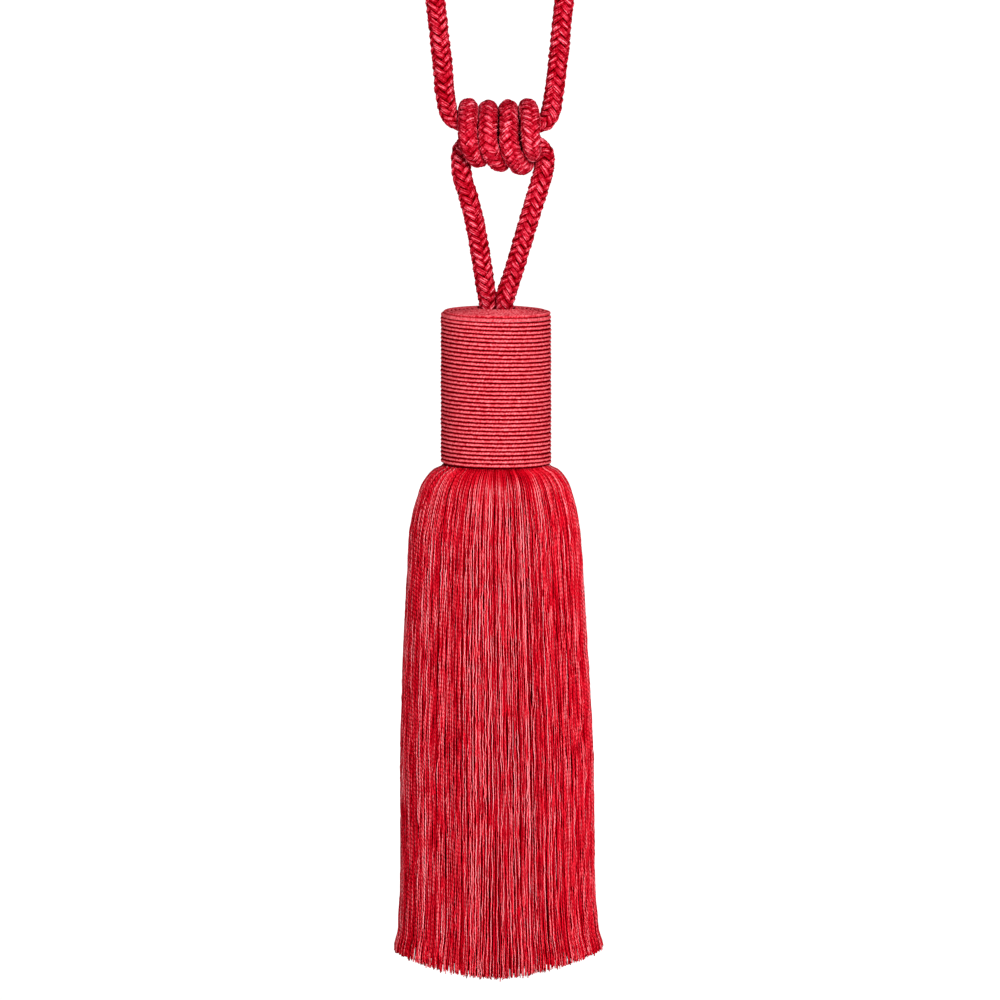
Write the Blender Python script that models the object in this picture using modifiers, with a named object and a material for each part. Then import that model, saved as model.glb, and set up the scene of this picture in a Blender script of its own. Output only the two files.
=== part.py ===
"""A tieback tassel: two loops of braided rope linked by a four-turn rope knot, a head wound
with fine cord, and a skirt of hanging thread. Metres, +Z up. The origin is the point that
the tassel hangs from, at the inner top of the curtain loop. The front faces -Y."""

import math

import bmesh
import bpy
import numpy as np

MM = 0.001
GAP = 0.3 * MM

# The braided rope
ROPE_RADIUS = 4.5 * MM
ROPE_SIDES_RESOLUTION = 2

# The head: a cylinder wound with fine cord, one ridge for each turn
HEAD_TOP = -183.1 * MM
HEAD_RADIUS = 24.9 * MM
EDGE_ROUNDING = 2.1 * MM
WOUND_CORD = 1.82 * MM
SIDE_TURNS = 37
EDGE_TURNS = 2
TOP_TURNS = 8
GROOVE_DEPTH = 0.55 * MM
EYE_RADIUS = 8.4 * MM
EYE_DEPTH = 2.8 * MM
HEAD_SEGMENTS = 24

# The skirt: locks of thread that spring from a collar under the head
COLLAR_RADIUS = 21.5 * MM
COLLAR_HEIGHT = 4.4 * MM
MIDDLE_DROP = 225.7 * MM
SIDE_DROP = 218.8 * MM
HEM_ARCH = 1.5
HEM_RADIUS = 46.8 * MM
LOCK_THICKNESS = 3.4 * MM
ROOT_THICKNESS = 1.7 * MM
LOCK_WIDTH_SHARE = 0.82
HEM_UNEVENNESS = 1.6 * MM
LOCK_SEED = 7

# The curtain loop's centreline from the middle of the knot, up the left side, over the top
# and back into the knot. The rope is squeezed thinner inside the knot.
# Columns in mm: x, y, z; then the rope's thickness as a share of its free size
CURTAIN_LOOP = [
    (-1.1, -0.6, -100.3, 0.64),
    (-7.4, -0.7, -99.9, 0.64),
    (-12.4, -0.6, -100.0, 0.66),
    (-16.6, -0.3, -98.7, 0.76),
    (-20.5, 0.2, -95.5, 0.91),
    (-22.1, 0.0, -89.8, 1.0),
    (-23.2, 0.0, -83.2, 1.0),
    (-23.6, 0.0, -76.5, 1.0),
    (-24.8, 0.0, -65.1, 1.0),
    (-26.3, 0.0, -51.6, 1.0),
    (-27.3, 0.0, -42.5, 1.0),
    (-28.6, 0.0, -29.4, 1.0),
    (-28.5, 0.0, -20.0, 1.0),
    (-26.0, 0.0, -10.8, 1.0),
    (-19.8, 0.0, -2.5, 1.0),
    (-10.6, 0.0, 2.8, 1.0),
    (0.0, 0.0, 4.5, 1.0),
    (11.0, 0.0, 2.8, 1.0),
    (21.2, 0.0, -2.6, 1.0),
    (28.4, 0.0, -11.0, 1.0),
    (31.8, 0.0, -20.4, 1.0),
    (32.0, 0.0, -29.4, 1.0),
    (30.8, 0.0, -42.5, 1.0),
    (29.7, 0.0, -51.6, 1.0),
    (28.5, 0.0, -65.1, 1.0),
    (27.4, 0.0, -74.2, 1.0),
    (26.3, 0.0, -83.2, 1.0),
    (25.2, 0.0, -89.6, 1.0),
    (23.7, 0.0, -94.6, 0.98),
    (20.5, -0.2, -98.1, 0.82),
    (16.0, -0.4, -99.7, 0.69),
    (11.0, -0.8, -100.2, 0.64),
    (5.6, -0.8, -100.3, 0.64),
]

# The tassel loop's centreline from the head's eye, up the left side, through the knot and
# down the right side. Columns as above
TASSEL_LOOP = [
    (-3.8, 1.6, -185.2, 0.83),
    (-3.8, 1.4, -180.5, 0.87),
    (-4.2, 0.9, -176.4, 0.92),
    (-5.2, 0.3, -169.2, 1.0),
    (-8.1, 0.0, -151.1, 1.0),
    (-11.9, 0.0, -133.5, 1.0),
    (-14.7, 1.0, -124.4, 1.0),
    (-15.7, 2.8, -118.5, 1.0),
    (-15.7, 5.0, -112.6, 0.91),
    (-13.5, 3.8, -108.4, 0.78),
    (-9.7, 1.4, -106.0, 0.64),
    (-4.3, 1.2, -106.0, 0.64),
    (2.0, 1.0, -106.6, 0.64),
    (8.3, 1.2, -106.9, 0.64),
    (14.2, 1.8, -106.7, 0.69),
    (18.9, 4.2, -108.4, 0.82),
    (21.6, 5.2, -112.2, 0.93),
    (22.1, 3.6, -117.2, 1.0),
    (20.7, 1.4, -123.1, 1.0),
    (17.6, 0.0, -133.0, 1.0),
    (12.2, 0.0, -151.1, 1.0),
    (7.4, -0.4, -169.2, 1.0),
    (5.1, -1.0, -176.4, 0.92),
    (4.2, -1.4, -180.5, 0.87),
    (4.1, -1.6, -185.2, 0.83),
]

# The knot's turns, left to right. Each goes over the top, down the front and up behind.
# Columns in mm: x and z of the rope's outer side at the top of the turn, x in front, x and z
# of its outer side at the bottom, and how far the centreline stands out behind
KNOT_TURNS = [
    (-12.4, -87.4, -12.7, -7.6, -118.3, 11.9),
    (-3.4, -88.2, -3.5, 2.2, -120.0, 11.6),
    (5.6, -88.1, 6.0, 12.0, -121.8, 11.6),
]
LAST_TURN_TOP = (14.4, -87.5)
KNOT_ROPE_RADIUS = 4.2
FRONT_REACH = 11.2
# The rope's two ends in the knot. Columns in mm: x, y, z; then thickness as above
KNOT_START = [
    (-13.5, 11.6, -105.0, 0.73),
    (-13.6, 10.0, -98.5, 0.88),
]
KNOT_TAIL = [
    (16.0, -11.2, -99.5, 0.93),
    (16.0, -10.6, -106.5, 0.91),
    (16.6, -7.4, -110.8, 0.82),
    (16.9, -4.0, -112.0, 0.73),
]

# The skirt's outer side. Columns in mm: radius, drop below the head
SKIRT_OUTLINE = [
    (17.5, 0.9),
    (24.8, 1.2),
    (29.8, 3.8),
    (33.6, 9.7),
    (36.2, 18.5),
    (38.6, 34.6),
    (42.8, 115.0),
    (43.9, 195.0),
    (46.8, 218.8),
]

# The rings of locks, from the outside in. Columns: locks in the ring, radius of their
# roots in mm, radius as a share of the skirt's, sides of a lock. The outermost ring has its
# roots and its shape from the outline
LOCK_RINGS = [
    (56, 17.5, 1.0, 4),
    (48, 16.2, 0.82, 3),
    (40, 13.0, 0.65, 3),
    (30, 9.8, 0.48, 3),
    (20, 6.6, 0.31, 3),
    (9, 3.2, 0.13, 3),
]
INNER_LOCK_DROPS = [3.0, 12.0, 34.0, 134.0]
OPENING_DROP = 34.0
# The skirt hangs a little to one side. Columns in mm: drop, shift along x
SKIRT_LEAN = [
    (0.0, 0.0),
    (30.0, -0.4),
    (80.0, -0.2),
    (150.0, 0.6),
    (219.0, 0.9),
]


def clear_scene():
    for ob in list(bpy.data.objects):
        bpy.data.objects.remove(ob, do_unlink=True)


def new_collection(name):
    collection = bpy.data.collections.new(name)
    bpy.context.scene.collection.children.link(collection)
    return collection


def new_material(name, colour, roughness):
    material = bpy.data.materials.new(name)
    material.use_nodes = True
    shader = material.node_tree.nodes["Principled BSDF"]
    shader.inputs["Base Color"].default_value = (*colour, 1.0)
    shader.inputs["Roughness"].default_value = roughness
    shader.inputs["Metallic"].default_value = 0.0
    return material


def smooth_curve(points, steps):
    """Points on a natural cubic spline through the given ones, steps to each span."""
    points = np.array(points, dtype=float)
    spans = np.sqrt(np.linalg.norm(np.diff(points[:, :3], axis=0), axis=1))
    size = len(points)
    system = np.eye(size)
    bends = np.zeros_like(points)
    for i in range(1, size - 1):
        before = spans[i - 1]
        after = spans[i]
        system[i, i - 1 : i + 2] = before, 2 * (before + after), after
        rise = (points[i + 1] - points[i]) / after
        bends[i] = 6 * (rise - (points[i] - points[i - 1]) / before)
    bends = np.linalg.solve(system, bends)
    out = []
    for i in range(size - 1):
        for t in np.arange(steps) * spans[i] / steps:
            a = (spans[i] - t) / spans[i]
            b = t / spans[i]
            line = a * points[i] + b * points[i + 1]
            curl = (a**3 - a) * bends[i] + (b**3 - b) * bends[i + 1]
            out.append(line + curl * spans[i] ** 2 / 6)
    out.append(points[-1])
    return np.array(out)


def rope(name, route, steps, material, collection):
    """A rope along a route in mm whose last column is its thickness."""
    points = smooth_curve(route, steps)
    curve = bpy.data.curves.new(name, "CURVE")
    curve.dimensions = "3D"
    curve.bevel_depth = ROPE_RADIUS
    curve.bevel_resolution = ROPE_SIDES_RESOLUTION
    curve.use_fill_caps = True
    spline = curve.splines.new("POLY")
    spline.points.add(len(points) - 1)
    for point, (x, y, z, thickness) in zip(spline.points, points):
        point.co = (x * MM, y * MM, z * MM, 1.0)
        point.radius = thickness
    curve.materials.append(material)
    ob = bpy.data.objects.new(name, curve)
    collection.objects.link(ob)
    return ob


def knot_route():
    """The knot's winding: four quarter points to a turn, between its two tucked ends."""
    share = KNOT_ROPE_RADIUS * MM / ROPE_RADIUS
    tops = [(x, z - KNOT_ROPE_RADIUS) for x, z, *_ in KNOT_TURNS]
    last_x, last_z = LAST_TURN_TOP
    tops.append((last_x, last_z - KNOT_ROPE_RADIUS))
    route = list(KNOT_START)
    for turn, (_, _, front_x, low_x, low_z, back_reach) in enumerate(KNOT_TURNS):
        top_x, top_z = tops[turn]
        next_x, next_z = tops[turn + 1]
        bottom_z = low_z + KNOT_ROPE_RADIUS
        route.append((top_x, 0.0, top_z, share))
        route.append((front_x, -FRONT_REACH, (top_z + bottom_z) / 2, share))
        route.append((low_x, 0.0, bottom_z, share))
        route.append(((low_x + next_x) / 2, back_reach, (bottom_z + next_z) / 2, share))
    route.append((last_x, 0.0, last_z - KNOT_ROPE_RADIUS, share))
    route.extend(KNOT_TAIL)
    return route


def turned(name, profile, segments, material, collection):
    """A solid turned about Z from a profile of (radius, height) that runs downwards."""
    mesh = bpy.data.meshes.new(name)
    vertices = [(radius, 0.0, height) for radius, height in profile]
    edges = [(i, i + 1) for i in range(len(vertices) - 1)]
    mesh.from_pydata(vertices, edges, [])
    mesh.materials.append(material)
    ob = bpy.data.objects.new(name, mesh)
    collection.objects.link(ob)
    screw = ob.modifiers.new("Turn", "SCREW")
    screw.axis = "Z"
    screw.angle = 2 * math.pi
    screw.steps = segments
    screw.render_steps = segments
    screw.use_merge_vertices = True
    screw.merge_threshold = 0.00005
    return ob


def head_bottom():
    return HEAD_TOP - EDGE_ROUNDING - SIDE_TURNS * WOUND_CORD


def edge_point(turns, depth):
    """A point on the head's rounded edge, so many turns past the top and so deep inside."""
    tilt = turns / EDGE_TURNS * math.pi / 2
    reach = EDGE_ROUNDING - depth
    radius = HEAD_RADIUS - EDGE_ROUNDING + reach * math.sin(tilt)
    return radius, HEAD_TOP - EDGE_ROUNDING + reach * math.cos(tilt)


def head_profile():
    """The turns on the top from the eye outwards, those round the edge, then the side's."""
    floor = HEAD_TOP - EYE_DEPTH
    profile = [(0.0, floor), (EYE_RADIUS, floor), (EYE_RADIUS, HEAD_TOP - GROOVE_DEPTH)]
    top_cord = (HEAD_RADIUS - EDGE_ROUNDING - EYE_RADIUS) / TOP_TURNS
    for turn in range(TOP_TURNS):
        groove = EYE_RADIUS + turn * top_cord
        profile.append((groove + top_cord / 2, HEAD_TOP))
        profile.append((groove + top_cord, HEAD_TOP - GROOVE_DEPTH))
    for turn in range(EDGE_TURNS):
        profile.append(edge_point(turn + 0.5, 0.0))
        profile.append(edge_point(turn + 1, GROOVE_DEPTH))
    side_top = HEAD_TOP - EDGE_ROUNDING
    for turn in range(SIDE_TURNS):
        groove = side_top - turn * WOUND_CORD
        profile.append((HEAD_RADIUS, groove - WOUND_CORD / 2))
        profile.append((HEAD_RADIUS - GROOVE_DEPTH, groove - WOUND_CORD))
    profile.append((0.0, head_bottom()))
    return profile


def skirt_radius(drop):
    radii, drops = np.array(SKIRT_OUTLINE).T
    return float(np.interp(drop, drops, radii))


def skirt_lean(drop):
    drops, shifts = np.array(SKIRT_LEAN).T
    return float(np.interp(drop, drops, shifts))


def hem_drop(radius, angle, rng):
    """The hem is trimmed in a shallow arc from side to side, lowest in the middle."""
    aside = min(abs(radius * MM * math.cos(angle)) / HEM_RADIUS, 1.0)
    arc = (MIDDLE_DROP - SIDE_DROP) * aside**HEM_ARCH
    return (MIDDLE_DROP - arc + rng.uniform(-1, 1) * HEM_UNEVENNESS / 2) / MM


def outer_lock_path(angle, rng):
    """(radius, drop) of an outer lock's middle, half its thickness inside the outline."""
    outline = np.array(SKIRT_OUTLINE)
    outline[-1, 1] = hem_drop(outline[-1, 0], angle, rng)
    along = np.gradient(outline, axis=0)
    along /= np.linalg.norm(along, axis=1)[:, None]
    inward = np.stack([-along[:, 1], along[:, 0]], axis=1)
    thick = np.array([lock_thickness(drop) for drop in outline[:, 1]])
    return outline + inward * thick[:, None] / 2, thick


def inner_lock_path(root, share, angle, rng):
    """(radius, drop) of an inner lock, which opens from its root to its share."""
    path = []
    end = hem_drop(share * HEM_RADIUS / MM, angle, rng)
    for drop in INNER_LOCK_DROPS + [end]:
        opened = min(drop / OPENING_DROP, 1.0)
        opened = opened * opened * (3 - 2 * opened)
        full = share * skirt_radius(drop) - lock_thickness(drop) / 2
        path.append((root + (full - root) * opened, drop))
    path = np.array(path)
    return path, np.array([lock_thickness(drop) for drop in path[:, 1]])


def lock_thickness(drop):
    opened = min(drop / OPENING_DROP, 1.0)
    return (ROOT_THICKNESS + (LOCK_THICKNESS - ROOT_THICKNESS) * opened) / MM


def add_lock(bm, path, thick, angle, count, sides):
    """One lock: a loft of flat sections square to its path, closed at both ends."""
    along = np.gradient(path, axis=0)
    along /= np.linalg.norm(along, axis=1)[:, None]
    outward = (math.cos(angle), math.sin(angle))
    sideways = (-math.sin(angle), math.cos(angle))
    sections = []
    for (radius, drop), (step_r, step_d), depth in zip(path, along, thick):
        width = LOCK_WIDTH_SHARE * 2 * math.pi * (radius - depth / 2) / count
        corners = [(-depth / 2, 0.0), (0.0, -width / 2), (depth / 2, 0.0), (0.0, width / 2)]
        if sides == 3:
            corners = [(-depth / 2, -width / 2), (depth / 2, 0.0), (-depth / 2, width / 2)]
        section = []
        for out, side in corners:
            r = radius + out * step_d
            d = drop - out * step_r
            x = r * outward[0] + side * sideways[0] + skirt_lean(drop)
            y = r * outward[1] + side * sideways[1]
            section.append(bm.verts.new((x * MM, y * MM, head_bottom() - d * MM)))
        sections.append(section)
    for upper, lower in zip(sections, sections[1:]):
        for i in range(sides):
            j = (i + 1) % sides
            bm.faces.new((upper[i], lower[i], lower[j], upper[j]))
    bm.faces.new(sections[0])
    bm.faces.new(sections[-1][::-1])


def skirt_locks(material, collection):
    """All the locks in one guide object, ring by ring."""
    rng = np.random.default_rng(LOCK_SEED)
    bm = bmesh.new()
    for ring, (count, root, share, sides) in enumerate(LOCK_RINGS):
        pitch = 2 * math.pi / count
        play = pitch * (1 - LOCK_WIDTH_SHARE) / 4
        for i in range(count):
            angle = (i + 0.5) * pitch + rng.uniform(-1, 1) * play
            if ring == 0:
                path, thick = outer_lock_path(angle, rng)
            else:
                path, thick = inner_lock_path(root, share, angle, rng)
            add_lock(bm, path, thick, angle, count, sides)
    bmesh.ops.recalc_face_normals(bm, faces=bm.faces)
    mesh = bpy.data.meshes.new("skirt_locks")
    bm.to_mesh(mesh)
    bm.free()
    mesh.materials.append(material)
    ob = bpy.data.objects.new("skirt_locks", mesh)
    ob.hide_render = True
    ob.display_type = "WIRE"
    collection.objects.link(ob)
    return ob


def skirt(material, collection, guides):
    """The collar, a disc under the head, with the locks joined to it."""
    bm = bmesh.new()
    bmesh.ops.create_cone(
        bm,
        cap_ends=True,
        segments=LOCK_RINGS[0][0],
        radius1=COLLAR_RADIUS,
        radius2=COLLAR_RADIUS,
        depth=COLLAR_HEIGHT,
    )
    mesh = bpy.data.meshes.new("skirt")
    bm.to_mesh(mesh)
    bm.free()
    mesh.materials.append(material)
    ob = bpy.data.objects.new("skirt", mesh)
    ob.location.z = head_bottom() - GAP - COLLAR_HEIGHT / 2
    collection.objects.link(ob)
    join = ob.modifiers.new("Locks", "BOOLEAN")
    join.operation = "UNION"
    join.object = skirt_locks(material, guides)
    return ob


def build():
    clear_scene()
    tassel = new_collection("tieback_tassel")
    guides = new_collection("guides")
    rope_red = new_material("rope", (0.52, 0.012, 0.035), 0.55)
    cord_red = new_material("head_cord", (0.68, 0.045, 0.065), 0.45)
    thread_red = new_material("skirt_threads", (0.58, 0.018, 0.04), 0.5)
    rope("curtain_loop", CURTAIN_LOOP, 2, rope_red, tassel)
    rope("tassel_loop", TASSEL_LOOP, 2, rope_red, tassel)
    rope("knot", knot_route(), 4, rope_red, tassel)
    turned("head", head_profile(), HEAD_SEGMENTS, cord_red, tassel)
    skirt(thread_red, tassel, guides)


build()
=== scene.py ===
import math

import bpy
import numpy as np
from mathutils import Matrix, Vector


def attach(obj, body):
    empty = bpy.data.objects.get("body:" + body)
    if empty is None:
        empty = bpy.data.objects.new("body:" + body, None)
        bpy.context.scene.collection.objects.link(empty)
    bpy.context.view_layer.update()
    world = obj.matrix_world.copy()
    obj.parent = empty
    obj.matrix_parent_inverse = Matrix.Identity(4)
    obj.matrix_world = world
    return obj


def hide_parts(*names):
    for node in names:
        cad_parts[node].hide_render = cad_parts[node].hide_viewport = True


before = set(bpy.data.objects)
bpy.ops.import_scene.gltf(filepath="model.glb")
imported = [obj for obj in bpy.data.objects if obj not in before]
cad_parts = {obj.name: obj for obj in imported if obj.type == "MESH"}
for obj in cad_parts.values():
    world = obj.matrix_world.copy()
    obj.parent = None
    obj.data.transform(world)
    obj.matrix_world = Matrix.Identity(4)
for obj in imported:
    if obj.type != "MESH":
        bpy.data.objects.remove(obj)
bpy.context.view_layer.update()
scene = bpy.context.scene


# The camera stands far off in front, a little above the tassel's middle, so that the turns
# of the head and the skirt's hem curve gently downwards.
VIEW_CENTRE = Vector((0.0018, 0.0, -0.2687))
VIEW_DISTANCE = 9.0
VIEW_RISE = math.radians(5.97)
LENS_MM = 720

camera = bpy.data.objects.new("camera", bpy.data.cameras.new("camera"))
scene.collection.objects.link(camera)
camera.data.lens = LENS_MM
camera.data.sensor_width = 36
camera.data.clip_end = 60
towards = Vector((0.0, -math.cos(VIEW_RISE), math.sin(VIEW_RISE)))
camera.location = VIEW_CENTRE + VIEW_DISTANCE * towards
camera.rotation_euler = towards.to_track_quat("Z", "Y").to_euler()
scene.camera = camera


# The curtain loop is a 9 mm rope of dyed viscose, braided on a machine from 12 flat bundles
# of three yarns over a soft core. It goes round the curtain, and its ends are in the knot.
BUNDLES_EACH_WAY = 6
BRAID_RADIUS = 0.00386
BRAID_LIFT = 0.00042
BRAID_TURN = 0.0217
STEPS_PER_TURN = 36
SPLINE_STEPS = 12
# How suddenly a bundle goes from over to under
DIVE = 2
BUNDLE_DRIFT = 0.00022
DRIFTS_A_TURN = 4
BUNDLE_SWELL = 0.00008
YARN_SWELL = 0.00013
SWELL_LENGTH = 0.0017
POINTS_A_PLY_CROSSES = 4
# Painted shade on a bundle where it goes under others, and a painted highlight where its yarns
# swell out
UNDER_SHADE = 0.62
SWELL_SHADE = 0.25
CORE_RADIUS = 0.0032
CORE_SIDES = 8
# One bundle across. Columns in metres: across, out; then how pale it is painted, from 0 to 1: a
# painted shade at its edges and between its yarns, a painted highlight on their crests
BUNDLE_SECTION = np.array([
    (-0.00134, -0.00036, 0.0),
    (-0.00092, 0.00016, 0.82),
    (-0.00046, -0.00004, 0.66),
    (0.0, 0.00034, 1.0),
    (0.00046, -0.00004, 0.66),
    (0.00092, 0.00016, 0.82),
    (0.00134, -0.00036, 0.0),
])
# Columns in metres: x, y, z; then the rope's thickness as a share of its free size
CURTAIN_LOOP = [
    (-0.0011, -0.0006, -0.1003, 0.64),
    (-0.0074, -0.0007, -0.0999, 0.64),
    (-0.0124, -0.0006, -0.1000, 0.66),
    (-0.0166, -0.0003, -0.0987, 0.76),
    (-0.0205, 0.0002, -0.0955, 0.91),
    (-0.0221, 0.0, -0.0898, 1.0),
    (-0.0232, 0.0, -0.0832, 1.0),
    (-0.0236, 0.0, -0.0765, 1.0),
    (-0.0248, 0.0, -0.0651, 1.0),
    (-0.0263, 0.0, -0.0516, 1.0),
    (-0.0273, 0.0, -0.0425, 1.0),
    (-0.0286, 0.0, -0.0294, 1.0),
    (-0.0285, 0.0, -0.0200, 1.0),
    (-0.0260, 0.0, -0.0108, 1.0),
    (-0.0198, 0.0, -0.0025, 1.0),
    (-0.0106, 0.0, 0.0028, 1.0),
    (0.0, 0.0, 0.0045, 1.0),
    (0.0110, 0.0, 0.0028, 1.0),
    (0.0212, 0.0, -0.0026, 1.0),
    (0.0284, 0.0, -0.0110, 1.0),
    (0.0318, 0.0, -0.0204, 1.0),
    (0.0320, 0.0, -0.0294, 1.0),
    (0.0308, 0.0, -0.0425, 1.0),
    (0.0297, 0.0, -0.0516, 1.0),
    (0.0285, 0.0, -0.0651, 1.0),
    (0.0274, 0.0, -0.0742, 1.0),
    (0.0263, 0.0, -0.0832, 1.0),
    (0.0254, 0.0, -0.0897, 1.0),
    (0.0240, 0.0, -0.0949, 1.0),
    (0.0208, -0.0002, -0.0987, 0.86),
    (0.0160, -0.0004, -0.0997, 0.69),
    (0.0110, -0.0008, -0.1002, 0.64),
    (0.0056, -0.0008, -0.1003, 0.64),
]


def smooth_curve(points, steps):
    """Points on a natural cubic spline through the given ones, steps to each span."""
    points = np.array(points, dtype=float)
    spans = np.sqrt(np.linalg.norm(np.diff(points[:, :3], axis=0), axis=1))
    size = len(points)
    system = np.eye(size)
    bends = np.zeros_like(points)
    for i in range(1, size - 1):
        before = spans[i - 1]
        after = spans[i]
        system[i, i - 1 : i + 2] = before, 2 * (before + after), after
        rise = (points[i + 1] - points[i]) / after
        bends[i] = 6 * (rise - (points[i] - points[i - 1]) / before)
    bends = np.linalg.solve(system, bends)
    out = []
    for i in range(size - 1):
        for t in np.arange(steps) * spans[i] / steps:
            a = (spans[i] - t) / spans[i]
            b = t / spans[i]
            line = a * points[i] + b * points[i + 1]
            curl = (a**3 - a) * bends[i] + (b**3 - b) * bends[i + 1]
            out.append(line + curl * spans[i] ** 2 / 6)
    out.append(points[-1])
    return np.array(out)


def evenly_spaced(curve, step):
    """The curve's columns at even distances along it, and those distances."""
    lengths = np.linalg.norm(np.diff(curve[:, :3], axis=0), axis=1)
    travelled = np.concatenate([[0.0], np.cumsum(lengths)])
    places = np.linspace(0.0, travelled[-1], round(travelled[-1] / step) + 1)
    columns = [np.interp(places, travelled, column) for column in curve.T]
    return np.stack(columns, axis=1), places


def unit(vectors):
    """The vectors at length 1."""
    return vectors / np.linalg.norm(vectors, axis=-1, keepdims=True)


def untwisted_normals(line):
    """Normals along a line that turn no more than the line itself does."""
    along = unit(np.gradient(line, axis=0))
    normal = np.cross(along[0], (0.0, 1.0, 0.0))
    normals = []
    for direction in along:
        normal = unit(normal - direction * np.dot(normal, direction))
        normals.append(normal)
    return along, np.array(normals)


def closed_tubes(rings, lay_across, dye, painted_shading):
    """Closed tubes from their rings, an array of (tube, ring, corner, xyz). lay_across is
    where each corner and the first one again lie round the yarn, in turns. dye is a number
    for each tube, and the last argument says how pale each corner is painted, from 0, a painted
    shade in a hollow, to 1, a painted highlight on a crest."""
    count, points, sides = rings.shape[:3]
    index = np.arange(count * points * sides).reshape(count, points, sides)
    beside = np.roll(index, -1, axis=2)
    quads = [index[:, :-1], beside[:, :-1], beside[:, 1:], index[:, 1:]]
    quads = np.stack(quads, axis=-1).reshape(-1, 4)
    caps = np.concatenate([index[:, 0, ::-1], index[:, -1]])

    steps = np.linalg.norm(np.diff(rings.mean(axis=2), axis=1), axis=2)
    travelled = np.concatenate([np.zeros((count, 1)), np.cumsum(steps, axis=1)], axis=1)
    shape = (count, points - 1, sides)
    low = np.broadcast_to(travelled[:, :-1, None], shape)
    high = np.broadcast_to(travelled[:, 1:, None], shape)
    left = np.broadcast_to(lay_across[:-1], shape)
    right = np.broadcast_to(lay_across[1:], shape)
    corners = [(left, low), (right, low), (right, high), (left, high)]
    corners = np.stack([np.stack(pair, axis=-1) for pair in corners], axis=-2)
    ends = np.zeros((caps.size, 2))
    ends[caps.size // 2 :, 1] = np.repeat(travelled[:, -1], sides)
    return {
        "vertices": rings.reshape(-1, 3),
        "faces": quads.tolist() + caps.tolist(),
        "lay": np.concatenate([corners.reshape(-1, 2), ends]),
        "dye": np.repeat(np.broadcast_to(dye, count), points * sides),
        "painted_shading": np.broadcast_to(painted_shading, (count, points, sides)).ravel(),
    }


def round_tubes(lines, outward, across_size, out_size, sides, dye, painted_shading, low=0.0, crown=3):
    """Closed tubes along lines (tube, point, xyz); outward says which side faces out. That
    side gets the paler value, a painted highlight, and the opposite one the low value, a
    painted shade, and a larger crown makes the painted highlight narrower."""
    along = unit(np.gradient(lines, axis=1))
    out = unit(outward - along * np.sum(outward * along, axis=-1, keepdims=True))
    across = np.cross(along, out)
    sizes = [np.broadcast_to(size, lines.shape[:2]) for size in (across_size, out_size)]
    wide, thick = [size[:, :, None, None] for size in sizes]
    turn = 2 * math.pi * np.arange(sides) / sides
    rings = lines[:, :, None] + thick * np.cos(turn)[:, None] * out[:, :, None]
    rings = rings + wide * np.sin(turn)[:, None] * across[:, :, None]
    top = np.broadcast_to(painted_shading, lines.shape[:2])[:, :, None]
    base = np.broadcast_to(low, lines.shape[:2])[:, :, None]
    # Painted light and shade round the tube: a painted highlight on the outward side, fading to
    # a painted shade on the far side
    lit = base + (top - base) * (0.5 + 0.5 * np.cos(turn)) ** crown
    return closed_tubes(rings, np.arange(sides + 1) / sides, dye, lit)


def joined_piece(name, parts, materials):
    """One object from several parts, with a material to each part."""
    vertices = np.concatenate([part["vertices"] for part in parts])
    faces = []
    slots = []
    start = 0
    for number, part in enumerate(parts):
        faces.extend([[start + corner for corner in face] for face in part["faces"]])
        slots.extend([min(number, len(materials) - 1)] * len(part["faces"]))
        start += len(part["vertices"])
    mesh = bpy.data.meshes.new(name)
    mesh.from_pydata(vertices.tolist(), [], faces)
    mesh.polygons.foreach_set("material_index", slots)
    mesh.polygons.foreach_set("use_smooth", [True] * len(faces))
    lay = mesh.uv_layers.new(name="lay")
    lay.uv.foreach_set("vector", np.concatenate([part["lay"] for part in parts]).ravel())
    for paint in ("dye", "painted_shading"):
        values = np.concatenate([part[paint] for part in parts])
        mesh.attributes.new(paint, "FLOAT", "POINT").data.foreach_set("value", values)
    for material in materials:
        mesh.materials.append(material)
    piece = bpy.data.objects.new(name, mesh)
    scene.collection.objects.link(piece)
    return piece


def over_and_under(phase):
    """+1 where a bundle lies over two others, and -1 where it goes under two."""
    wave = np.cos(math.pi / 2 * phase)
    return np.tanh(DIVE * wave) / math.tanh(DIVE)


def uneven(rng, places, patch, width):
    """Random numbers that change smoothly along the places, with one column to each yarn."""
    knots = np.arange(int(places[-1] / patch) + 2)
    values = rng.normal(0, 1, (width, len(knots)))
    return np.stack([np.interp(places / patch, knots, row) for row in values], axis=1)


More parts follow.
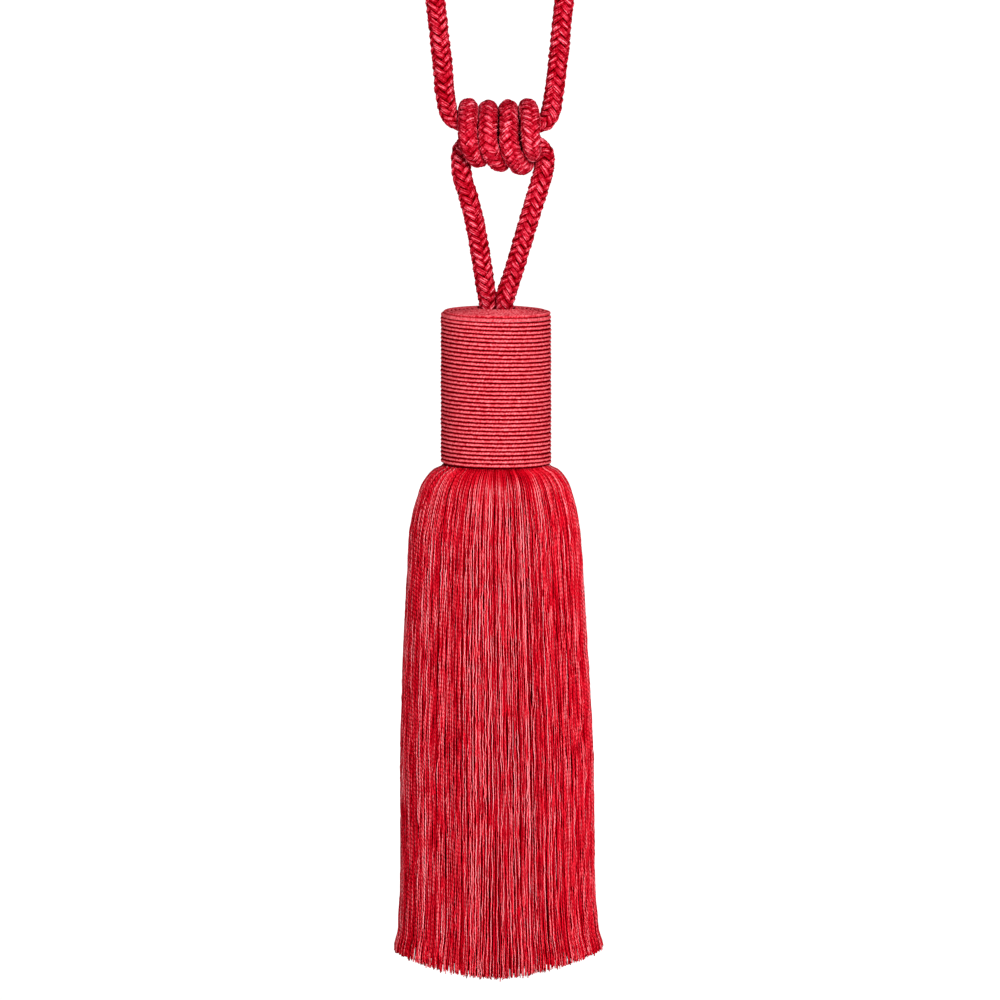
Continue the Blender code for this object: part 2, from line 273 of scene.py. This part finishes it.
def braided_rope(name, route, turn, seed):
    """A braided rope along a route with a thickness column, and its centreline. turn is the
    length in which a bundle goes once round."""
    centre, places = evenly_spaced(smooth_curve(route, SPLINE_STEPS), turn / STEPS_PER_TURN)
    line = centre[:, :3]
    share = centre[:, 3:]
    along, normal = untwisted_normals(line)
    side = np.cross(along, normal)
    rng = np.random.default_rng(seed)
    gap = 2 * math.pi / BUNDLES_EACH_WAY
    crossing = turn / BUNDLES_EACH_WAY / 2
    across, proud, catch = BUNDLE_SECTION.T
    slant = math.hypot(1, 2 * math.pi * BRAID_RADIUS / turn)
    rings = []
    painted_shading = []
    for way in (1, -1):
        for bundle in range(BUNDLES_EACH_WAY):
            drift = uneven(rng, places, turn / DRIFTS_A_TURN, 1) * BUNDLE_DRIFT
            shift = (across + drift) * slant / BRAID_RADIUS
            angle = bundle * gap + shift + way * 2 * math.pi * places[:, None] / turn
            crossed = places[:, None] / crossing + way * shift / gap
            lift = way * over_and_under(2 * bundle + way * crossed - 0.5)
            swell = uneven(rng, places, SWELL_LENGTH, len(across))
            swollen = YARN_SWELL * swell + BUNDLE_SWELL * uneven(rng, places, SWELL_LENGTH, 1)
            radius = BRAID_RADIUS + BRAID_LIFT * lift + proud + swollen
            out = np.cos(angle)[..., None] * normal[:, None]
            out = out + np.sin(angle)[..., None] * side[:, None]
            rings.append(line[:, None] + (radius * share)[..., None] * out)
            # A painted shade where the bundle goes under, and a painted highlight where its
            # yarns swell
            lifted = UNDER_SHADE + (1 - UNDER_SHADE) * lift
            painted_shading.append(catch * lifted * (1 + SWELL_SHADE * swell))
    yarns = closed_tubes(
        np.array(rings),
        np.arange(len(BUNDLE_SECTION) + 1) / POINTS_A_PLY_CROSSES,
        rng.uniform(0, 1, len(rings)),
        np.array(painted_shading),
    )
    core_radius = CORE_RADIUS * share[::2, 0]
    core = round_tubes(
        line[None, ::2], normal[None, ::2], core_radius, core_radius, CORE_SIDES, 0.0, 0.0
    )
    return joined_piece(name, [yarns, core], [rope_silk, rope_core]), line


def add_node(material, kind, **settings):
    """A shader node with some of its settings and unlinked inputs filled in."""
    node = material.node_tree.nodes.new(kind)
    for name, value in settings.items():
        if name in node.inputs:
            node.inputs[name].default_value = value
        else:
            setattr(node, name, value)
    return node


def calculate(material, operation, *values):
    """A Math node on sockets and numbers; returns its result socket."""
    node = add_node(material, "ShaderNodeMath", operation=operation)
    for socket, value in zip(node.inputs, values):
        if isinstance(value, (int, float)):
            socket.default_value = value
        else:
            material.node_tree.links.new(value, socket)
    return node.outputs[0]


def colour_ramp(material, factor, stops):
    """A Color Ramp driven by factor; stops are (position, colour) from low to high."""
    node = add_node(material, "ShaderNodeValToRGB")
    elements = node.color_ramp.elements
    elements[0].position, elements[1].position = stops[0][0], stops[-1][0]
    elements[0].color, elements[1].color = (*stops[0][1], 1.0), (*stops[-1][1], 1.0)
    for position, colour in stops[1:-1]:
        elements.new(position).color = (*colour, 1.0)
    material.node_tree.links.new(factor, node.inputs["Fac"])
    return node.outputs["Color"]


# Where the plies and the blotches start on a yarn depends on its dye number. These say by
# how much, in turns of the plies and in units of the noise.
DYE_TURNS = 7.0
DYE_NOISE = 600
# How far the noise moves on once round the yarn
LAY_NOISE = 2
# The usual height of the plies' wave, |sin|, so that deeper plies don't change the shade
PLY_MEAN = 0.64
# The rope's shades run from deep crimson in its hollows, a painted shade, to pale pink on
# the crests of its yarns, a painted highlight. The silk's shine is painted into these shades,
# because the material itself reflects no highlights.
ROPE_SHADES = [
    (0.0, (0.12, 0.0001, 0.0006)),
    (0.2, (0.22, 0.0002, 0.0026)),
    (0.4, (0.32, 0.0018, 0.0095)),
    (0.55, (0.41, 0.0080, 0.0230)),
    (0.7, (0.57, 0.0380, 0.0650)),
    (0.85, (0.73, 0.1000, 0.1400)),
    (1.0, (0.88, 0.2100, 0.2600)),
]


def twisted_silk(
    name,
    shades,
    hollow,
    crest,
    blotch,
    dyes,
    ply_turn,
    ply_depth,
    relief,
    space_scale=0,
    yarn_scale=0,
    bulk=0.0,
):
    """Twisted silk yarn. hollow and crest are its shades there, as places on the ramp of
    shades: hollow a painted shade in the yarn's hollows and crest a painted highlight on its
    crests. blotch and dyes say how far they change along the yarn and from yarn to yarn. The
    blotches are noise, of space_scale through the object and yarn_scale down the yarn. The
    plies go once round the yarn in ply_turn, and relief is the height of their bumps. bulk
    turns the surface's normals outwards from the Z axis, so that a bunch of yarns takes the
    light as one round body."""
    material = bpy.data.materials.new(name)
    material.use_nodes = True
    links = material.node_tree.links
    shader = material.node_tree.nodes["Principled BSDF"]
    shader.inputs["Roughness"].default_value = 0.6
    shader.inputs["Specular IOR Level"].default_value = 0.0

    dye = add_node(material, "ShaderNodeAttribute", attribute_name="dye").outputs["Fac"]
    lay = add_node(material, "ShaderNodeUVMap", uv_map="lay")
    sides = add_node(material, "ShaderNodeSeparateXYZ")
    links.new(lay.outputs["UV"], sides.inputs[0])
    turns = calculate(
        material, "MULTIPLY_ADD", sides.outputs["Y"], 1 / ply_turn, sides.outputs["X"]
    )
    turns = calculate(material, "MULTIPLY_ADD", dye, DYE_TURNS, turns)
    wave = calculate(material, "SINE", calculate(material, "MULTIPLY", turns, 2 * math.pi))
    ply = calculate(material, "ABSOLUTE", wave)
    # The pale and dark corners are painted light and shade: a painted highlight on the crests
    # and a painted shade in the hollows. height is that painted shading, waved by the plies.
    painted_shading = add_node(material, "ShaderNodeAttribute", attribute_name="painted_shading").outputs["Fac"]
    plies = calculate(material, "MULTIPLY_ADD", ply, ply_depth, 1 - PLY_MEAN * ply_depth)
    height = calculate(material, "MULTIPLY", painted_shading, plies)

    place = add_node(material, "ShaderNodeTexCoord").outputs["Object"]
    stretch = add_node(material, "ShaderNodeVectorMath", operation="MULTIPLY")
    stretch.inputs[1].default_value = (space_scale, space_scale, space_scale)
    links.new(place, stretch.inputs[0])
    down_yarn = add_node(material, "ShaderNodeCombineXYZ")
    for value, factor, axis in [
        (dye, DYE_NOISE, "X"),
        (sides.outputs["X"], LAY_NOISE, "Y"),
        (sides.outputs["Y"], yarn_scale, "Z"),
    ]:
        links.new(calculate(material, "MULTIPLY", value, factor), down_yarn.inputs[axis])
    drawn = add_node(material, "ShaderNodeVectorMath", operation="ADD")
    links.new(stretch.outputs[0], drawn.inputs[0])
    links.new(down_yarn.outputs[0], drawn.inputs[1])
    noise = add_node(material, "ShaderNodeTexNoise", Scale=1.0, Detail=2.0)
    links.new(drawn.outputs[0], noise.inputs["Vector"])
    shade = calculate(material, "MULTIPLY_ADD", height, crest - hollow, hollow)
    noise_shade = calculate(material, "MULTIPLY_ADD", noise.outputs["Fac"], blotch, -blotch / 2)
    dye_shade = calculate(material, "MULTIPLY_ADD", dye, dyes, -dyes / 2)
    uneven_shade = calculate(material, "ADD", noise_shade, dye_shade)
    shade = calculate(material, "ADD", shade, uneven_shade)
    silk = colour_ramp(material, shade, shades)
    links.new(silk, shader.inputs["Base Color"])

    bump = add_node(material, "ShaderNodeBump", Strength=0.7, Distance=relief)
    links.new(ply, bump.inputs["Height"])
    from_axis = add_node(material, "ShaderNodeVectorMath", operation="MULTIPLY")
    from_axis.inputs[1].default_value = (1.0, 1.0, 0.0)
    links.new(place, from_axis.inputs[0])
    outward = add_node(material, "ShaderNodeVectorMath", operation="NORMALIZE")
    links.new(from_axis.outputs[0], outward.inputs[0])
    facing = add_node(material, "ShaderNodeVectorMath", operation="MULTIPLY_ADD")
    facing.inputs[1].default_value = (bulk, bulk, bulk)
    links.new(outward.outputs[0], facing.inputs[0])
    links.new(add_node(material, "ShaderNodeNewGeometry").outputs["Normal"], facing.inputs[2])
    faced = add_node(material, "ShaderNodeVectorMath", operation="NORMALIZE")
    links.new(facing.outputs[0], faced.inputs[0])
    links.new(faced.outputs[0], bump.inputs["Normal"])
    links.new(bump.outputs["Normal"], shader.inputs["Normal"])
    return material


rope_silk = twisted_silk(
    "rope_silk",
    ROPE_SHADES,
    hollow=-0.22,
    crest=0.80,
    blotch=0.8,
    dyes=0.0,
    ply_turn=0.0030,
    ply_depth=0.25,
    relief=0.00012,
    space_scale=1000,
)
# The rope's core, and below the head the mould, are painted a near-black crimson with fluffy
# noise: partly their own colour, partly a painted shade where they show between the bundles and
# between the turns of cord.
rope_core = bpy.data.materials.new("rope_core")
rope_core.use_nodes = True
core_shader = rope_core.node_tree.nodes["Principled BSDF"]
core_shader.inputs["Roughness"].default_value = 0.9
core_shader.inputs["Specular IOR Level"].default_value = 0.0
fluff = add_node(rope_core, "ShaderNodeTexNoise", Scale=900.0, Detail=3.0)
fluff_shade = colour_ramp(
    rope_core, fluff.outputs["Fac"], [(0.3, (0.05, 0.0003, 0.001)), (0.7, (0.16, 0.001, 0.004))]
)
rope_core.node_tree.links.new(fluff_shade, core_shader.inputs["Base Color"])

curtain_loop, curtain_line = braided_rope(
    "curtain_loop_braid", CURTAIN_LOOP, BRAID_TURN, seed=11
)
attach(curtain_loop, "root")
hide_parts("curtain_loop")


# The knot is its own short length of the same rope, wound four times round the two loops.
# Its ends are sewn down: one behind on the left, the other tucked in at the bottom right.
# Bending it so tightly packs its braid together along the middle.
KNOT_ROPE_SHARE = 0.99
KNOT_BRAID_TURN = 0.0152
# Columns in metres: x, y, z; then thickness as above, for the winding's centreline
KNOT_ROUTE = [
    (-0.0135, 0.0116, -0.1050, 0.73),
    (-0.0136, 0.0100, -0.0985, 0.88),
    (-0.0124, 0.0, -0.0916, 1.0),
    (-0.0128, -0.0112, -0.1020, 1.0),
    (-0.0113, -0.0092, -0.1091, 1.0),
    (-0.0074, 0.0, -0.1141, 1.0),
    (-0.0055, 0.0119, -0.10325, 1.0),
    (-0.0034, 0.0, -0.0924, 1.0),
    (-0.0038, -0.0112, -0.1030, 1.0),
    (-0.0023, -0.0095, -0.1105, 1.0),
    (0.0022, 0.0, -0.1158, 1.0),
    (0.0039, 0.0116, -0.10405, 1.0),
    (0.0056, 0.0, -0.0923, 1.0),
    (0.0057, -0.0112, -0.1037, 1.0),
    (0.0073, -0.0096, -0.1119, 1.0),
    (0.0123, 0.0, -0.1174, 1.0),
    (0.0132, 0.0116, -0.10465, 1.0),
    (0.0144, 0.0, -0.0917, 1.0),
    (0.0155, -0.0112, -0.0995, 1.0),
    (0.0157, -0.0106, -0.1065, 0.97),
    (0.0163, -0.0074, -0.1108, 0.88),
    (0.0169, -0.0040, -0.1120, 0.78),
]

knot, knot_line = braided_rope(
    "knot_braid",
    [(x, y, z, share * KNOT_ROPE_SHARE) for x, y, z, share in KNOT_ROUTE],
    KNOT_BRAID_TURN,
    seed=12,
)
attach(knot, "root")
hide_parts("knot")


# The tassel loop is the same rope again. It comes up out of the head, passes through the
# knot under the curtain loop, and goes back down into the head.
# Columns in metres: x, y, z; then thickness as above
TASSEL_LOOP = [
    (-0.0037, 0.0014, -0.1852, 0.86),
    (-0.0037, 0.0014, -0.1805, 0.92),
    (-0.0041, 0.0012, -0.1764, 0.97),
    (-0.0052, 0.0004, -0.1692, 1.0),
    (-0.0081, 0.0, -0.1511, 1.0),
    (-0.0119, 0.0, -0.1335, 1.0),
    (-0.0147, 0.0010, -0.1244, 1.0),
    (-0.0157, 0.0028, -0.1185, 1.0),
    (-0.0155, 0.0050, -0.1114, 0.95),
    (-0.0131, 0.0038, -0.1074, 0.84),
    (-0.0097, 0.0014, -0.1060, 0.64),
    (-0.0043, 0.0012, -0.1060, 0.64),
    (0.0020, 0.0010, -0.1066, 0.64),
    (0.0083, 0.0012, -0.1069, 0.64),
    (0.0142, 0.0018, -0.1067, 0.69),
    (0.0189, 0.0042, -0.1084, 0.82),
    (0.0216, 0.0052, -0.1122, 0.96),
    (0.0219, 0.0036, -0.1172, 1.05),
    (0.0206, 0.0014, -0.1231, 1.04),
    (0.0176, 0.0, -0.1330, 1.02),
    (0.0122, 0.0, -0.1511, 1.0),
    (0.0067, -0.0008, -0.1692, 1.0),
    (0.0043, -0.0017, -0.1764, 1.0),
    (0.0038, -0.0018, -0.1805, 0.93),
    (0.0036, -0.0016, -0.1852, 0.88),
]

tassel_loop, tassel_line = braided_rope(
    "tassel_loop_braid", TASSEL_LOOP, BRAID_TURN, seed=13
)
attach(tassel_loop, "root")
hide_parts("tassel_loop")


# The head is a turned wooden mould covered with fine twisted cord. The cord starts at the
# eye in the top, goes outwards in a flat spiral, over the edge and down the side.
HEAD_TOP = -0.1829
HEAD_BOTTOM = -0.25254
HEAD_RADIUS = 0.0250
HEAD_CORD = 0.00182
HEAD_CORD_HIGH = 0.00086
HEAD_CORD_OUT = 0.00088
EYE_RADIUS = 0.0084
EYE_RISE = 0.0014
EDGE_ROUNDING = 0.0021
EDGE_FIRST_TILT = math.radians(4)
HEAD_STEPS = 96
HEAD_CORD_SIDES = 8
MOULD_INSET = 0.00045
EYE_FLOOR = -0.1857
BULGE_SIZE = 0.00006
BULGE_SPACING = 0.085
BULGES = 600
# The cord bulges up and down less than in and out, and at other places
BULGE_UPRIGHT_SHARE = 0.7
BULGE_UPRIGHT_SHIFT = 77
LEAN_STEP = 0.0005
MOULD_LIFT = 0.0005
MOULD_SEGMENTS = 64
# Over the rim and on the top the painted shade in the cord's hollows is mostly taken away,
# so that they are painted nearly as pale as its crests.
# Columns: height above HEAD_TOP in metres; how pale the hollows are painted
TOP_PALENESS = np.array([(-0.0040, 0.0), (-0.0028, 0.85), (-0.0012, 0.85), (-0.0009, 0.55)])
# There the painted highlight on the cord's crests is also weaker, by up to this share
TOP_CREST_LOSS = 0.12
HEAD_CROWN = 2.4
# The turns were wound a little askew. Columns in metres: height, rise at the left
WINDING_TILT = np.array([(HEAD_BOTTOM, -0.0001), (-0.1900, 0.00055), (HEAD_TOP, 0.0)])


def edge_points(inset, points):
    """(radius, height) over the head's rounded top edge, inset from its outer surface."""
    rounding = EDGE_ROUNDING - inset
    centre_radius = HEAD_RADIUS - EDGE_ROUNDING
    centre_height = HEAD_TOP - EDGE_ROUNDING
    tilts = np.linspace(EDGE_FIRST_TILT, math.pi / 2, points)
    radii = centre_radius + rounding * np.sin(tilts)
    return np.stack([radii, centre_height + rounding * np.cos(tilts)], axis=1)


def along_profile(profile, places):
    """(radius, height) at distances along a profile."""
    lengths = np.linalg.norm(np.diff(profile, axis=0), axis=1)
    travelled = np.concatenate([[0.0], np.cumsum(lengths)])
    return np.stack([np.interp(places, travelled, column) for column in profile.T], axis=1)


cord_profile = np.concatenate([
    [(EYE_RADIUS + HEAD_CORD / 2, HEAD_TOP - HEAD_CORD_OUT + EYE_RISE)],
    edge_points(HEAD_CORD_OUT, 9),
    [(HEAD_RADIUS - HEAD_CORD_OUT, HEAD_BOTTOM + HEAD_CORD / 2)],
])
profile_length = np.linalg.norm(np.diff(cord_profile, axis=0), axis=1).sum()
head_turns = profile_length / HEAD_CORD
wound = np.linspace(0, head_turns, round(head_turns * HEAD_STEPS) + 1)
head_rng = np.random.default_rng(21)
bulges = head_rng.normal(0, BULGE_SIZE, BULGES)
bulge_places = np.arange(BULGES) * BULGE_SPACING
upright_bulges = np.roll(bulges, BULGE_UPRIGHT_SHIFT)
radius, height = along_profile(cord_profile, wound * HEAD_CORD).T
radius = radius + np.interp(wound, bulge_places, bulges)
height = height + np.interp(wound, bulge_places, upright_bulges) * BULGE_UPRIGHT_SHARE
lean_in = along_profile(cord_profile, wound * HEAD_CORD + LEAN_STEP)
lean_in = unit(lean_in - along_profile(cord_profile, wound * HEAD_CORD - LEAN_STEP))
angle = wound * 2 * math.pi
round_about = np.stack([np.cos(angle), np.sin(angle), np.zeros_like(angle)], axis=1)
cord_line = round_about * radius[:, None]
cord_line[:, 2] = height - np.cos(angle) * np.interp(height, *WINDING_TILT.T)
facing = round_about * -lean_in[:, 1:]
facing[:, 2] = lean_in[:, 0]
# The head is dyed a shade warmer than the rope. Its shades run from a painted shade in the
# cord's hollows to a painted highlight on its crests
HEAD_SHADES = [
    (0.0, (0.12, 0.0001, 0.0004)),
    (0.3, (0.25, 0.0005, 0.0030)),
    (0.45, (0.43, 0.0070, 0.0170)),
    (0.6, (0.61, 0.0600, 0.0790)),
    (0.8, (0.77, 0.1450, 0.1650)),
    (1.0, (0.95, 0.3000, 0.3200)),
]
head_silk = twisted_silk(
    "head_silk",
    HEAD_SHADES,
    hollow=-0.50,
    crest=0.79,
    blotch=0.9,
    dyes=0.0,
    ply_turn=0.0026,
    ply_depth=0.1,
    relief=0.0001,
    space_scale=1000,
)
# The painted light and shade on the cord, with the hollows painted pale near the top
hollow_paleness = np.interp(height - HEAD_TOP, *TOP_PALENESS.T)
winding = round_tubes(
    cord_line[None],
    facing[None],
    HEAD_CORD_HIGH,
    HEAD_CORD_OUT,
    HEAD_CORD_SIDES,
    0.5,
    1 - TOP_CREST_LOSS * hollow_paleness[None],
    hollow_paleness[None],
    crown=HEAD_CROWN,
)


def turned_part(profile, segments):
    """A closed solid turned about Z from a profile of (radius, height), top to bottom."""
    vertices = [(0.0, 0.0, profile[0][1])]
    for r, z in profile[1:-1]:
        for k in range(segments):
            a = 2 * math.pi * k / segments
            vertices.append((r * math.cos(a), r * math.sin(a), z))
    vertices.append((0.0, 0.0, profile[-1][1]))
    faces = []
    rings = len(profile) - 2
    last = len(vertices) - 1
    for k in range(segments):
        j = (k + 1) % segments
        faces.append([0, 1 + k, 1 + j])
        for ring in range(rings - 1):
            upper = 1 + ring * segments
            lower = upper + segments
            faces.append([upper + k, lower + k, lower + j, upper + j])
        base = 1 + (rings - 1) * segments
        faces.append([base + j, base + k, last])
    corners = sum(len(face) for face in faces)
    return {
        "vertices": np.array(vertices),
        "faces": faces,
        "lay": np.zeros((corners, 2)),
        "dye": np.zeros(len(vertices)),
        "painted_shading": np.zeros(len(vertices)),
    }


mould = turned_part(
    [
        (0.0, EYE_FLOOR),
        (EYE_RADIUS, EYE_FLOOR),
        (EYE_RADIUS, HEAD_TOP - HEAD_CORD_OUT - MOULD_INSET + EYE_RISE),
        *edge_points(HEAD_CORD_OUT + MOULD_INSET, 5),
        (HEAD_RADIUS - HEAD_CORD_OUT - MOULD_INSET, HEAD_BOTTOM + MOULD_LIFT),
        (0.0, HEAD_BOTTOM + MOULD_LIFT),
    ],
    MOULD_SEGMENTS,
)
head = joined_piece("head_winding", [winding, mould], [head_silk, rope_core])
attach(head, "root")
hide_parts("head")


# The skirt is a thick fringe of shiny two-ply threads. They are sewn to a narrow heading
# wrapped round a stem under the head, spring out over the shoulder and hang straight.
THREAD_RADIUS = 0.00030
HEM_MIDDLE_DROP = 0.2277
HEM_SIDE_DROP = 0.2194
HEM_ARCH = 1.5
HEM_SHIFT = 0.05
HEM_UNEVEN = 0.0004
HEM_SHORT = 0.0003
# The threads are painted darker with their depth inside the skirt, and as they are pressed in,
# a painted shade, by a factor of e in this depth
SHEEN_DEPTH = 0.0011
THREAD_SIDES = 3
# A thread's points lie closer together near its top
POINT_CROWDING = 1.15
# The threads are held together at the top, and lie freely below this drop
SETTLE_DROP = 0.02
TUFT_TOP = 0.15
TUFT_LENGTH = 0.07
THREAD_THICKNESSES = (0.75, 1.1)
STAGGER = 0.3
INNERMOST = 0.004
# How the threads wander, each on its own or in groups. Columns in metres: the length of a
# wander down the skirt, its size
FIELD_LENGTH = 0.24
PRESSED_IN = (0.006, 0.0004)
SWAY = (0.02, 0.0002)
GROUP_SWAY = (0.04, 0.00015)
TUFTS = (FIELD_LENGTH, 0.0008)
GROUPS = 60
FRIZZ = 0.00012
# These two only suit the view from in front, and from the side they show as a dark band
# down the skirt. Both are painted shade: the threads at the left and right are painted darker
# all the way down, and the others just under the head, a painted shadow of the head, where it
# fades out below the drop ROOT_TOP.
SIDE_PAINTED_SHADE = 0.28
ROOT_PAINTED_SHADE = 0.6
ROOT_TOP = 0.002
ROOT_LENGTH = 0.006
# Columns in metres: drop below the head, radius of the skirt's outer side
SKIRT_OUTLINE = np.array([
    (-0.0004, 0.0237),
    (0.0011, 0.0251),
    (0.0029, 0.0291),
    (0.0052, 0.0310),
    (0.0075, 0.0326),
    (0.0097, 0.0338),
    (0.0120, 0.0346),
    (0.0165, 0.0360),
    (0.0210, 0.0372),
    (0.0300, 0.0388),
    (0.0436, 0.0397),
    (0.0617, 0.0407),
    (0.0979, 0.0426),
    (0.1340, 0.0440),
    (0.1800, 0.0441),
    (0.1975, 0.0446),
    (0.2110, 0.0457),
    (0.2180, 0.0475),
])
# The skirt hangs a little to one side. Columns in metres: drop, shift along x
SKIRT_LEAN = np.array([
    (0.0, 0.0),
    (0.03, -0.0005),
    (0.08, -0.0002),
    (0.15, 0.0006),
    (0.197, 0.0008),
    (0.219, 0.0012),
])


def field(rng, angle, drop, patches, length, size):
    """A smooth wander shared by neighbouring threads: a grid of random values, read between
    its points. It has patches columns round the skirt and a row in each length down it, and
    size is the spread of its values."""
    rows = math.ceil(FIELD_LENGTH / length) + 2
    grid = rng.normal(0, size, (patches, rows))
    across = angle / (2 * math.pi) * patches
    left = np.floor(across).astype(int)
    beside = across - left
    beside = beside * beside * (3 - 2 * beside)
    down = np.clip(drop / length, 0, rows - 1.001)
    upper = np.floor(down).astype(int)
    below = down - upper
    below = below * below * (3 - 2 * below)
    left, right = left % patches, (left + 1) % patches
    first = grid[left, upper] * (1 - below) + grid[left, upper + 1] * below
    second = grid[right, upper] * (1 - below) + grid[right, upper + 1] * below
    return first * (1 - beside) + second * beside


def skirt_threads(name, count, offset, points, depths, seed):
    """Threads that hang at a range of depths inside the skirt's outer side. The hem is
    trimmed in a shallow arc from side to side, lowest just left of the middle."""
    rng = np.random.default_rng(seed)
    depth = rng.uniform(*depths, (count, 1))
    share = 1 - depth / SKIRT_OUTLINE[-1, 1]
    stagger = rng.uniform(-STAGGER, STAGGER, (count, 1))
    start = 2 * math.pi * (np.arange(count)[:, None] + offset + stagger) / count
    aside = np.abs(np.cos(start) * share + HEM_SHIFT)
    ends = HEM_MIDDLE_DROP - (HEM_MIDDLE_DROP - HEM_SIDE_DROP) * aside**HEM_ARCH
    ends = ends + rng.normal(0, HEM_UNEVEN, (count, 1))
    ends = ends - rng.exponential(HEM_SHORT, (count, 1))
    drop = np.linspace(0, 1, points) ** POINT_CROWDING * ends
    settled = np.clip(drop / SETTLE_DROP, 0, 1)
    radius = np.interp(drop, *SKIRT_OUTLINE.T) * share - THREAD_RADIUS
    pressed = np.abs(field(rng, start, drop, count, *PRESSED_IN))
    radius = radius - pressed * settled
    sideways = field(rng, start, drop, GROUPS, *GROUP_SWAY)
    sideways += field(rng, start, drop, count, *SWAY)
    sideways += rng.normal(0, FRIZZ, (count, points))
    tuft = field(rng, start, drop, GROUPS, *TUFTS)
    sideways += tuft * np.clip((drop - TUFT_TOP) / TUFT_LENGTH, 0, 1)
    angle = start + sideways * settled / np.maximum(radius, INNERMOST)
    out = np.stack([np.cos(angle), np.sin(angle), np.zeros_like(angle)], axis=-1)
    lines = out * radius[..., None]
    lines[..., 0] += np.interp(drop, *SKIRT_LEAN.T)
    lines[..., 2] = HEAD_BOTTOM - drop
    thick = THREAD_RADIUS * rng.uniform(*THREAD_THICKNESSES, (count, 1))
    # Painted light and shade: the outer threads are painted pale, with painted shade deeper in,
    # at the left and right, and in front and behind just under the head
    painted_shading = np.exp(-(depth + pressed) / SHEEN_DEPTH)
    at_sides = np.cos(start) ** 2
    at_root = 1 - np.clip((drop - ROOT_TOP) / ROOT_LENGTH, 0, 1)
    painted_shading = painted_shading * (1 - ROOT_PAINTED_SHADE * at_root * (1 - at_sides))
    painted_shading = painted_shading * (1 - SIDE_PAINTED_SHADE * at_sides)
    dye = rng.uniform(0, 1, count)
    tubes = round_tubes(lines, out, thick, thick, THREAD_SIDES, dye, painted_shading)
    return joined_piece(name, [tubes], [skirt_silk])


# The threads are a stronger crimson than the rope and the head. Their shades run from a painted
# shade deep in the skirt to a painted highlight on the outer threads
THREAD_SHADES = [
    (0.0, (0.11, 0.0001, 0.0003)),
    (0.2, (0.26, 0.0001, 0.0018)),
    (0.4, (0.46, 0.0005, 0.0065)),
    (0.6, (0.67, 0.0030, 0.0160)),
    (0.8, (0.84, 0.0450, 0.0700)),
    (1.0, (1.00, 0.3400, 0.3700)),
]
skirt_silk = twisted_silk(
    "skirt_silk",
    THREAD_SHADES,
    hollow=0.27,
    crest=1.24,
    blotch=1.05,
    dyes=0.32,
    ply_turn=0.0040,
    ply_depth=0.25,
    relief=0.00012,
    yarn_scale=50,
    bulk=1.6,
)
# Four layers, from the outside in. Columns: name, threads, offset in threads, points on a
# thread, depths in metres, seed
for name, count, offset, points, depths, seed in [
    ("skirt_outer_threads_a", 225, 0.0, 96, (0.0, 0.0002), 31),
    ("skirt_outer_threads_b", 225, 0.5, 96, (0.0005, 0.0009), 32),
    ("skirt_under_threads", 720, 0.0, 32, (0.0010, 0.0040), 33),
    ("skirt_inner_threads", 1000, 0.0, 10, (0.004, 0.045), 34),
]:
    threads = skirt_threads(name, count, offset, points, depths, seed)
    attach(threads, "root")
    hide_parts("skirt")


# The studio has a wide pale floor some way below the tassel. It glows by itself, a painted
# light, weakly under the tassel and most strongly a few metres off, so that it makes a white
# ground behind the tassel from every side.
FLOOR_HEIGHT = -0.75
FLOOR_RADIUS = 30.0
FLOOR_SEGMENTS = 64

floor_mesh = bpy.data.meshes.new("floor")
rim = [2 * math.pi * k / FLOOR_SEGMENTS for k in range(FLOOR_SEGMENTS)]
floor_mesh.from_pydata(
    [(FLOOR_RADIUS * math.cos(a), FLOOR_RADIUS * math.sin(a), FLOOR_HEIGHT) for a in rim],
    [],
    [list(range(FLOOR_SEGMENTS))],
)
floor = bpy.data.objects.new("floor", floor_mesh)
scene.collection.objects.link(floor)
paper = bpy.data.materials.new("floor_paper")
paper.use_nodes = True
paper_shader = paper.node_tree.nodes["Principled BSDF"]
paper_shader.inputs["Base Color"].default_value = (0.86, 0.86, 0.86, 1.0)
paper_shader.inputs["Roughness"].default_value = 0.9
# The floor glows white, a painted light, stronger further from the middle
paper_shader.inputs["Emission Color"].default_value = (1.0, 1.0, 1.0, 1.0)
spot = add_node(paper, "ShaderNodeTexCoord").outputs["Object"]
distance = add_node(paper, "ShaderNodeVectorMath", operation="LENGTH")
paper.node_tree.links.new(spot, distance.inputs[0])
glow = add_node(paper, "ShaderNodeMapRange")
for socket, value in (("From Min", 0.8), ("From Max", 3.0), ("To Min", 0.1), ("To Max", 1.0)):
    glow.inputs[socket].default_value = value
paper.node_tree.links.new(distance.outputs["Value"], glow.inputs["Value"])
paper.node_tree.links.new(glow.outputs["Result"], paper_shader.inputs["Emission Strength"])
floor_mesh.materials.append(paper)


# The light: a broad soft lamp high in front, a little to the right, a weaker one on the left
# and another high behind, and an even glow from the room.
def soft_lamp(name, place, width, power):
    lamp = bpy.data.lights.new(name, "AREA")
    lamp.shape = "DISK"
    lamp.size = width
    lamp.energy = power
    ob = bpy.data.objects.new(name, lamp)
    ob.location = place
    ob.rotation_euler = (Vector(place) - VIEW_CENTRE).to_track_quat("Z", "Y").to_euler()
    scene.collection.objects.link(ob)


soft_lamp("key_lamp", (0.55, -2.77, 0.9), 0.8, 120)
soft_lamp("fill_lamp", (-1.3, -2.4, 0.4), 1.2, 5)
soft_lamp("back_lamp", (0.6, 2.6, 1.4), 1.2, 12)
room = bpy.data.worlds.new("room")
room.use_nodes = True
room.node_tree.nodes["Background"].inputs["Color"].default_value = (1.0, 1.0, 1.0, 1.0)
room.node_tree.nodes["Background"].inputs["Strength"].default_value = 0.18
scene.world = room
scene.view_settings.view_transform = "Standard"
